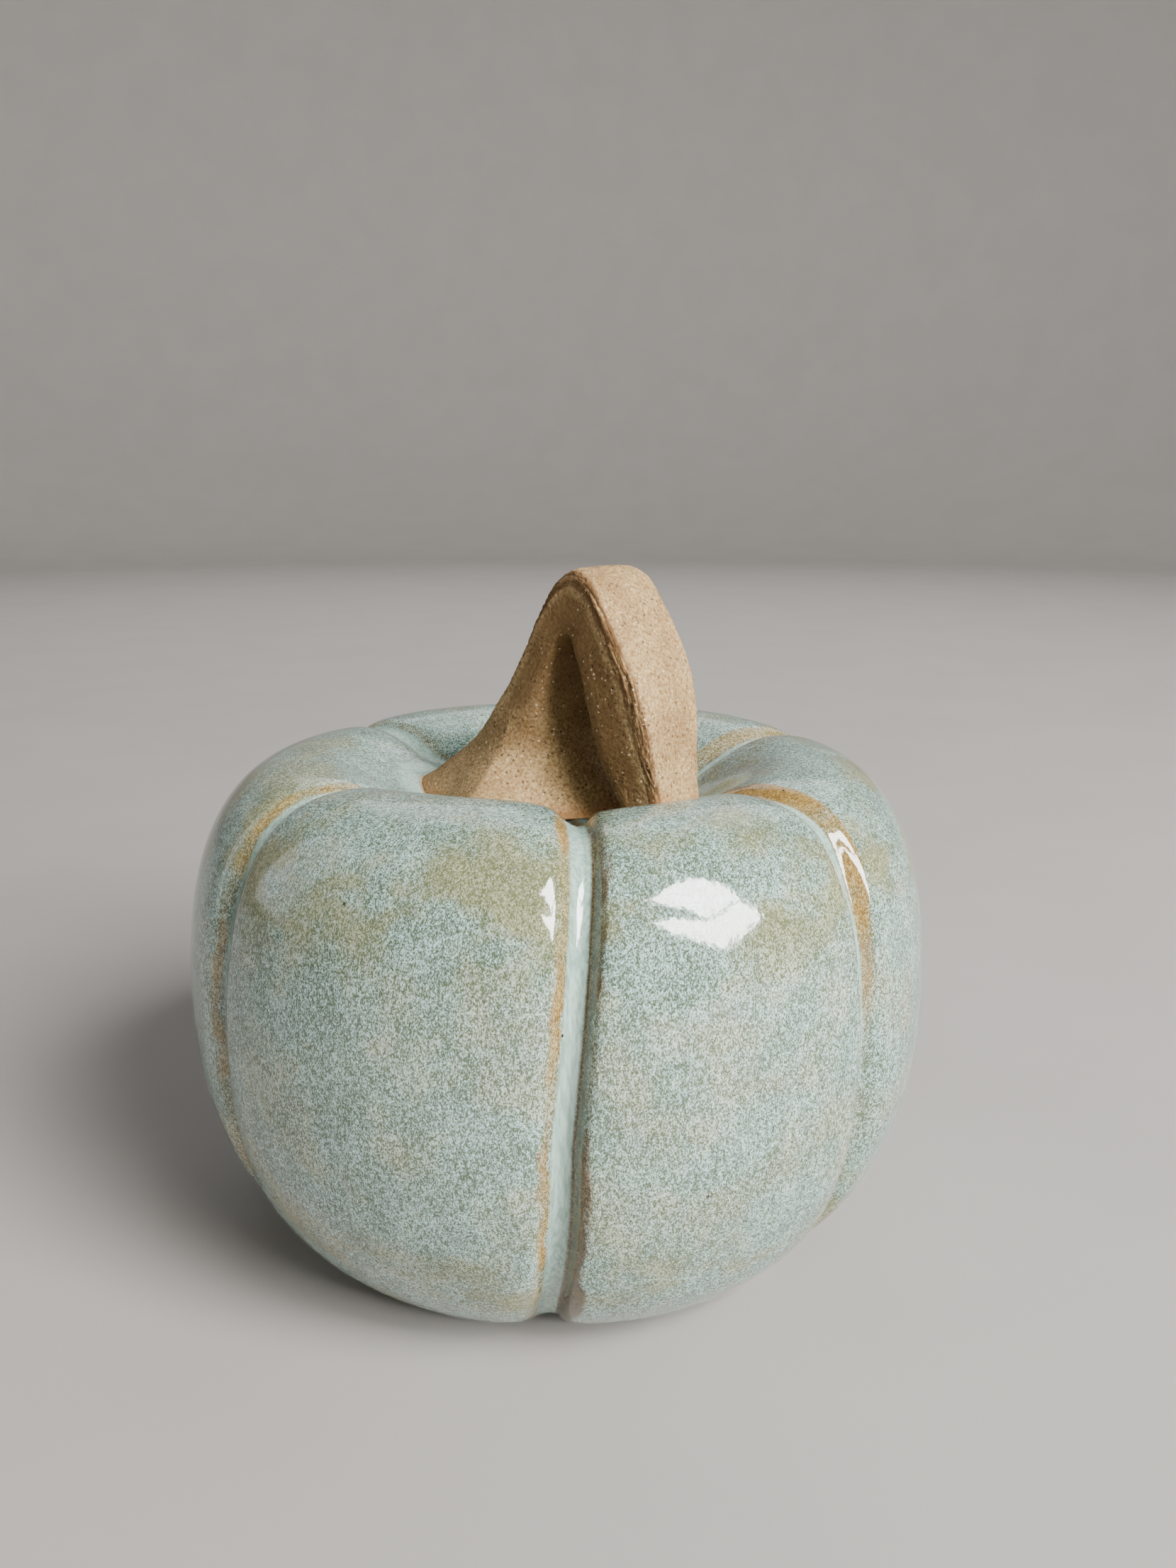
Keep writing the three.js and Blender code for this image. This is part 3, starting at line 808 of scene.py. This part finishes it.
# Stage, lights and camera, with lengths in metres

FLOOR_LEVEL = -0.0002
FLOOR_RADIUS = 1.7
FLOOR_BEND = 0.6
WALL_HEIGHT = 2.8
FLOOR_BEND_STEPS = 12
FLOOR_COLUMNS = 96
FLOOR_TONE = srgb(174, 170, 166)


def plain_material(name, colour, roughness):
    n = Nodes(name)
    tone = n.noise(60, detail=2)
    n.link(n.mix(n.ramp(tone, 0.3, 0.7), colour, tuple(0.96 * c for c in colour)),
           n.shader.inputs["Base Color"])
    n.shader.inputs["Roughness"].default_value = roughness
    return n.material


def make_floor():
    """A pale round floor that curves up into a wall on all sides"""
    profile = [(FLOOR_RADIUS / 2, FLOOR_LEVEL), (FLOOR_RADIUS, FLOOR_LEVEL)]
    for step in range(1, FLOOR_BEND_STEPS + 1):
        angle = step / FLOOR_BEND_STEPS * math.pi / 2
        profile.append((FLOOR_RADIUS + FLOOR_BEND * math.sin(angle),
                        FLOOR_LEVEL + FLOOR_BEND * (1 - math.cos(angle))))
    profile.append((FLOOR_RADIUS + FLOOR_BEND, WALL_HEIGHT))
    columns = FLOOR_COLUMNS
    points = [(radius * math.sin(2 * math.pi * c / columns),
               radius * math.cos(2 * math.pi * c / columns), height)
              for radius, height in profile for c in range(columns)]
    centre = len(points)
    points.append((0, 0, FLOOR_LEVEL))
    faces = [(centre, (c + 1) % columns, c) for c in range(columns)]
    for ring in range(len(profile) - 1):
        for c in range(columns):
            a, b = ring * columns + c, ring * columns + (c + 1) % columns
            faces.append((a, b, b + columns, a + columns))
    mesh = bpy.data.meshes.new("floor")
    mesh.from_pydata(points, [], faces)
    mesh.shade_smooth()
    mesh.materials.append(plain_material("pale_floor", FLOOR_TONE, 0.75))
    floor = bpy.data.objects.new("floor", mesh)
    bpy.context.scene.collection.objects.link(floor)


CAMERA_AZIMUTH = -45
CAMERA_DISTANCE = 0.18817
CAMERA_HEIGHT = 0.12067
CAMERA_PITCH = 14.396
CAMERA_YAW = 1.502
FOCAL_PIXELS = 1661
IMAGE_HEIGHT = 2212
LIGHT_TARGET = Vector((0, 0, 0.05))

# Outlines of the window's panes, as azimuth from the camera and elevation
WINDOW_PANES = [
    [(24.5, 44.9), (46.4, 28), (61.5, 30), (61, 45.3), (55.8, 51.3)],
    [(22.2, 32.5), (31.9, 23.5), (47.9, 12), (61.9, 18.5), (61.5, 29), (46.4, 26.5)],
]
WINDOW_DISTANCE = 1.3
WINDOW_GLOW = 40


def make_camera():
    data = bpy.data.cameras.new("camera")
    data.sensor_fit = "VERTICAL"
    data.sensor_height = 24
    data.lens = FOCAL_PIXELS / IMAGE_HEIGHT * data.sensor_height
    data.clip_start = 0.01
    camera = bpy.data.objects.new("camera", data)
    bpy.context.scene.collection.objects.link(camera)
    azimuth = math.radians(CAMERA_AZIMUTH)
    camera.location = (CAMERA_DISTANCE * math.sin(azimuth), -CAMERA_DISTANCE * math.cos(azimuth),
                       CAMERA_HEIGHT)
    camera.rotation_euler = (math.radians(90 - CAMERA_PITCH), 0,
                             azimuth - math.radians(CAMERA_YAW))
    bpy.context.scene.camera = camera


def make_light(name, azimuth, elevation, distance, size, power, colour=(1, 1, 1)):
    """A soft rectangular light in a direction from the pumpkin, turned to face it"""
    data = bpy.data.lights.new(name, "AREA")
    data.shape = "RECTANGLE"
    data.size, data.size_y = size
    data.energy = power
    data.color = colour
    light = bpy.data.objects.new(name, data)
    bpy.context.scene.collection.objects.link(light)
    aim = direction(azimuth, elevation)
    light.location = LIGHT_TARGET + aim * distance
    light.rotation_euler = aim.to_track_quat("Z", "Y").to_euler()
    light.visible_camera = False
    return light


def direction(azimuth, elevation):
    a, e = math.radians(azimuth), math.radians(elevation)
    return Vector((math.cos(e) * math.sin(a), -math.cos(e) * math.cos(a), math.sin(e)))


def make_window():
    """The main light: two glowing panes with a bar between them, unseen by the camera"""
    material = bpy.data.materials.new("window_glow")
    material.use_nodes = True
    tree = material.node_tree
    tree.nodes.clear()
    glow = tree.nodes.new("ShaderNodeEmission")
    glow.inputs["Color"].default_value = (1.0, 0.985, 0.96, 1)
    face = tree.nodes.new("ShaderNodeNewGeometry")
    strength = tree.nodes.new("ShaderNodeMapRange")
    strength.inputs["To Min"].default_value = 0
    strength.inputs["To Max"].default_value = WINDOW_GLOW
    tree.links.new(face.outputs["Backfacing"], strength.inputs["Value"])
    tree.links.new(strength.outputs["Result"], glow.inputs["Strength"])
    output = tree.nodes.new("ShaderNodeOutputMaterial")
    tree.links.new(glow.outputs[0], output.inputs["Surface"])
    points, faces = [], []
    for pane in WINDOW_PANES:
        faces.append(tuple(range(len(points), len(points) + len(pane))))
        points += [LIGHT_TARGET + direction(CAMERA_AZIMUTH + a, e) * WINDOW_DISTANCE
                   for a, e in pane]
    mesh = bpy.data.meshes.new("window")
    mesh.from_pydata([tuple(p) for p in points], [], faces)
    mesh.materials.append(material)
    window = bpy.data.objects.new("window", mesh)
    window.visible_camera = False
    bpy.context.scene.collection.objects.link(window)


def make_lights():
    make_window()
    room = make_light("room", CAMERA_AZIMUTH + 12, 40, 1.6, (1.5, 1.1), 2.6, (1.0, 0.99, 0.97))
    room.visible_glossy = False
    make_light("left_window", CAMERA_AZIMUTH - 100, 24, 1.4, (0.6, 1.15), 1.9, (0.92, 0.96, 1.0))
    make_light("rear", CAMERA_AZIMUTH + 172, 42, 1.5, (1.4, 0.9), 4, (0.97, 0.98, 1.0))
    backdrop = make_light("backdrop", CAMERA_AZIMUTH + 180, 60, 1.2, (1.6, 0.4), 10)
    backdrop.rotation_euler = (math.radians(60), 0, math.radians(CAMERA_AZIMUTH))
    backdrop.visible_glossy = False
    world = bpy.data.worlds.new("soft_room")
    bpy.context.scene.world = world
    world.use_nodes = True
    background = world.node_tree.nodes["Background"]
    background.inputs["Color"].default_value = (0.84, 0.86, 0.9, 1)
    background.inputs["Strength"].default_value = 0.03


EVEN, FIRST, LAST, ROOT_OUTLINE, TIP_OUTLINE = stem_outlines()
make_body(glaze_material(), ROOT_OUTLINE, TIP_OUTLINE)
make_stem(clay_material(), EVEN, FIRST, LAST)
make_floor()
make_lights()
make_camera()
